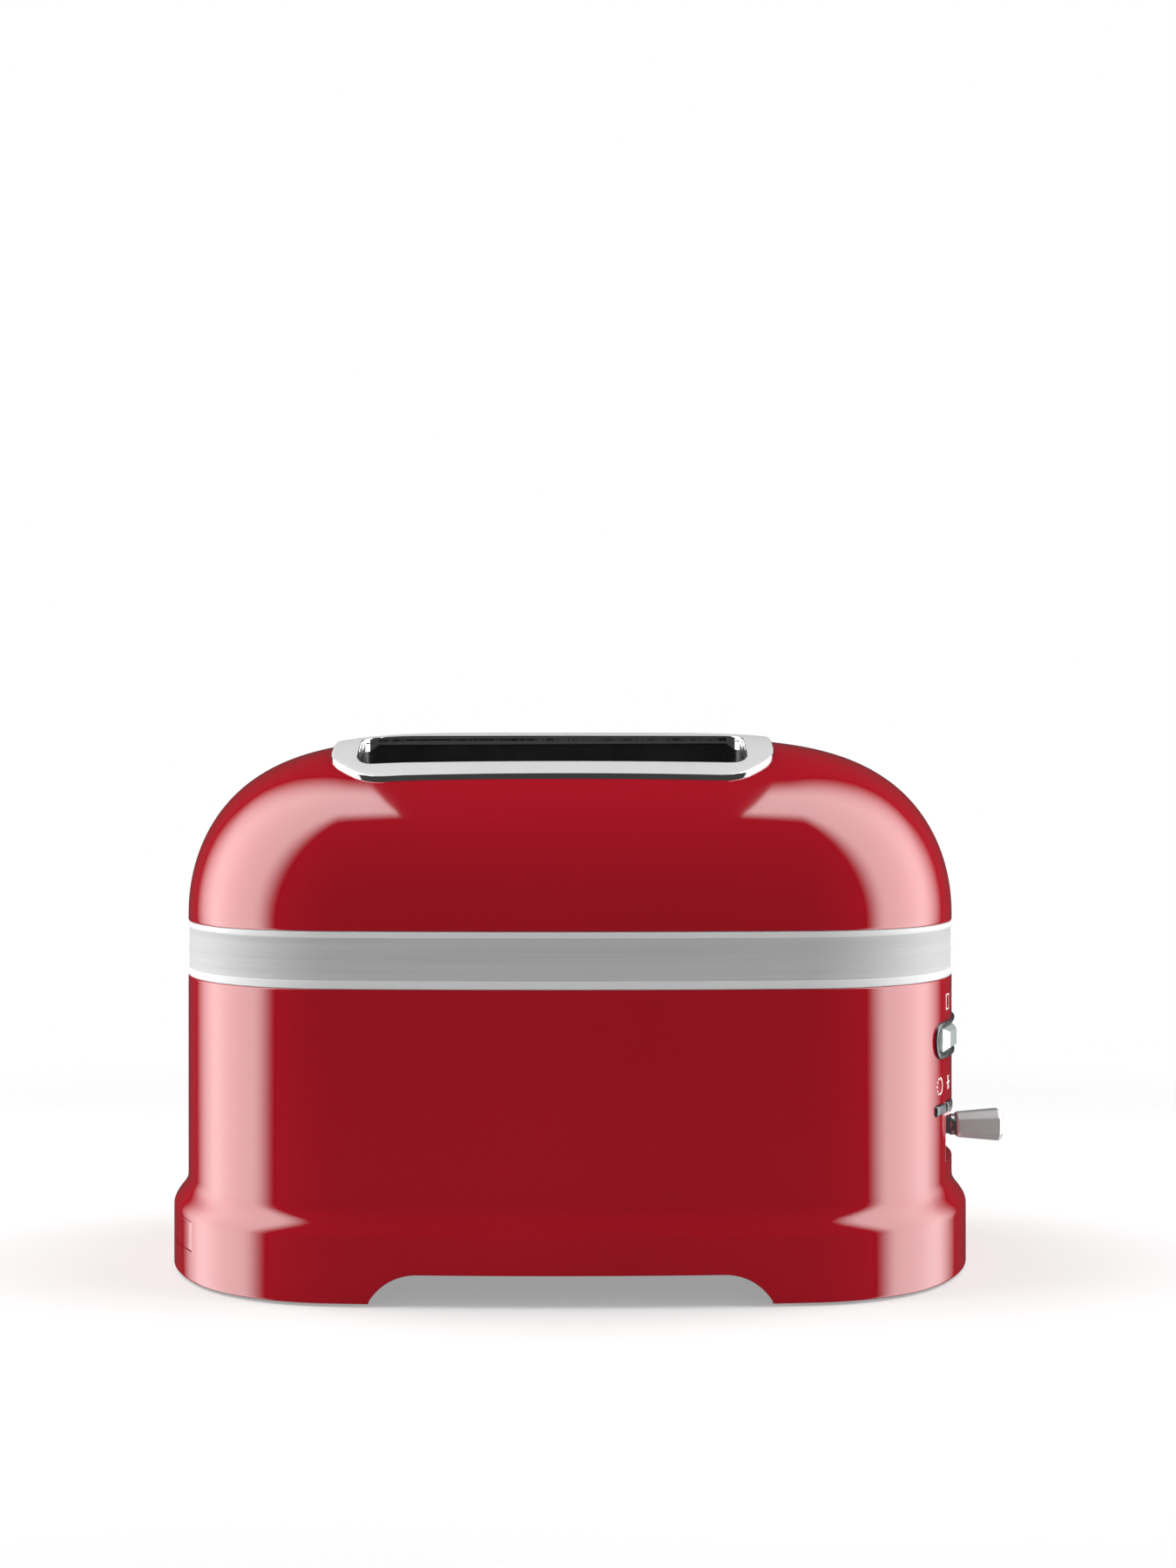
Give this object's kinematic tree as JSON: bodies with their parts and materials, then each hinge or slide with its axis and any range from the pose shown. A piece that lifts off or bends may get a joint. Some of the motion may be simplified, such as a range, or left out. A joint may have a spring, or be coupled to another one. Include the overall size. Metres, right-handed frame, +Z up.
{
  "type": "pop up toaster",
  "caption": "Two-slot toaster with a domed body on a flared arched base, a metal band, a chrome slot frame and a control end with slider, buttons and lever.",
  "frame": {"origin": "centre of the overall box, lever knob included, at the underside of the feet", "axes": "+X towards the control end with the lever, +Y towards the far long side, +Z up"},
  "size_m": [0.3298, 0.197, 0.209],
  "materials": {
    "red_enamel": "gloss",
    "brushed_band": "brushed",
    "chrome": "polished",
    "dark_metal": "satin",
    "black_liner": "gloss",
    "white_print": "matte",
    "black_plastic": "matte",
    "rubber": "matte",
    "steel_zinc": "satin",
    "steel_sheet": "satin",
    "mica": "matte",
    "resistance_ribbon": "matte",
    "wire_steel": "satin",
    "motor_metal": "satin",
    "brass": "satin",
    "nylon": "matte",
    "circuit_board": "satin",
    "lead_insulation": "satin",
    "grey_metal": "satin"
  },
  "bodies": {
    "housing": {"lower_shell": "red_enamel", "upper_shell": "red_enamel", "band": "brushed_band", "bezel": "chrome", "slot_liner_front": "black_liner", "slot_liner_rear": "black_liner", "slider_ring": "dark_metal", "slider_track": "circuit_board", "lever_recess": "red_enamel", "function_icons": "white_print", "base_plate": "black_plastic", "rubber_feet": "rubber", "tie_screws": "steel_zinc", "chassis_screws": "steel_zinc", "oven_plate_control": "steel_sheet", "oven_plate_cord": "steel_sheet", "reflector_front": "steel_sheet", "reflector_rear": "steel_sheet", "centre_reflector": "steel_sheet", "heater_board_front_outer": "mica", "heater_board_front_inner": "mica", "heater_board_rear_inner": "mica", "heater_board_rear_outer": "mica", "heating_ribbon_front_outer": "resistance_ribbon", "heating_ribbon_front_inner": "resistance_ribbon", "heating_ribbon_rear_inner": "resistance_ribbon", "heating_ribbon_rear_outer": "resistance_ribbon", "guide_rods": "steel_zinc", "rod_bridge": "steel_sheet", "motor_bracket": "steel_sheet", "gear_motor": "motor_metal", "lever_bracket": "steel_sheet", "lever_pin": "steel_zinc", "lever_spring": "steel_zinc", "lever_switch": "black_plastic", "control_frame": "black_plastic", "control_board": "circuit_board", "tact_switches": "black_plastic", "power_board": "circuit_board", "terminal_block": "nylon", "strain_relief": "rubber", "wiring_loom": "lead_insulation"},
    "lift": {"carriage_front": "steel_sheet", "carriage_rear": "steel_sheet", "lift_bracket": "steel_zinc", "guide_bushes": "brass", "lift_rack": "nylon"},
    "lift_pinion": {"pinion": "nylon"},
    "guard_fo": {"guard_front_outer": "wire_steel"},
    "guard_fi": {"guard_front_inner": "wire_steel"},
    "guard_ri": {"guard_rear_inner": "wire_steel"},
    "guard_ro": {"guard_rear_outer": "wire_steel"},
    "lever": {"lever_arm": "steel_zinc", "lever_knob": "chrome"},
    "shade_slider": {"slider_carrier": "chrome"},
    "push_button_1": {"button_1": "grey_metal"},
    "push_button_2": {"button_2": "grey_metal"},
    "push_button_3": {"button_3": "grey_metal"},
    "push_button_4": {"button_4": "grey_metal"},
    "tray": {"crumb_tray": "steel_sheet"}
  },
  "joints": [
    {"name": "carriage_lift", "type": "slide", "parent": "housing", "child": "lift", "axis": [0, 0, 1], "range_m": [-0.075, 0]},
    {"name": "pinion_spin", "type": "hinge", "parent": "housing", "child": "lift_pinion", "pos_m": [0.08605, 0, 0.1], "axis": [1, 0, 0], "range_deg": [-430, 0.5]},
    {"name": "guard_fo_close", "type": "slide", "parent": "housing", "child": "guard_fo", "axis": [0, 1, 0], "range_m": [0, 0.0066]},
    {"name": "guard_fi_close", "type": "slide", "parent": "housing", "child": "guard_fi", "axis": [0, -1, 0], "range_m": [0, 0.0066]},
    {"name": "guard_ri_close", "type": "slide", "parent": "housing", "child": "guard_ri", "axis": [0, 1, 0], "range_m": [0, 0.0066]},
    {"name": "guard_ro_close", "type": "slide", "parent": "housing", "child": "guard_ro", "axis": [0, -1, 0], "range_m": [0, 0.0066]},
    {"name": "lever_tilt", "type": "hinge", "parent": "housing", "child": "lever", "pos_m": [0.11005, 0, 0.0519], "axis": [0, 1, 0], "range_deg": [-4, 8], "stiffness_Nm_per_rad": 1.5},
    {"name": "shade_swing", "type": "hinge", "parent": "housing", "child": "shade_slider", "pos_m": [0.02955, 0, 0.0906], "axis": [0, 0, 1], "range_deg": [0, 37]},
    {"name": "button_1_press", "type": "slide", "parent": "housing", "child": "push_button_1", "axis": [-1, 0, 0], "range_m": [0, 0.001], "stiffness_N_per_m": 1500},
    {"name": "button_2_press", "type": "slide", "parent": "housing", "child": "push_button_2", "axis": [-1, 0, 0], "range_m": [0, 0.001], "stiffness_N_per_m": 1500},
    {"name": "button_3_press", "type": "slide", "parent": "housing", "child": "push_button_3", "axis": [-1, 0, 0], "range_m": [0, 0.001], "stiffness_N_per_m": 1500},
    {"name": "button_4_press", "type": "slide", "parent": "housing", "child": "push_button_4", "axis": [-1, 0, 0], "range_m": [0, 0.001], "stiffness_N_per_m": 1500},
    {"name": "tray_slide", "type": "slide", "parent": "housing", "child": "tray", "axis": [-1, 0, 0], "range_m": [0, 0.19]}
  ],
  "couplings": [
    {"joint": "pinion_spin", "follows": "carriage_lift", "rad_per_m": 100},
    {"joint": "guard_fo_close", "follows": "carriage_lift", "ratio": -0.086667},
    {"joint": "guard_fi_close", "follows": "carriage_lift", "ratio": -0.086667},
    {"joint": "guard_ri_close", "follows": "carriage_lift", "ratio": -0.086667},
    {"joint": "guard_ro_close", "follows": "carriage_lift", "ratio": -0.086667}
  ]
}
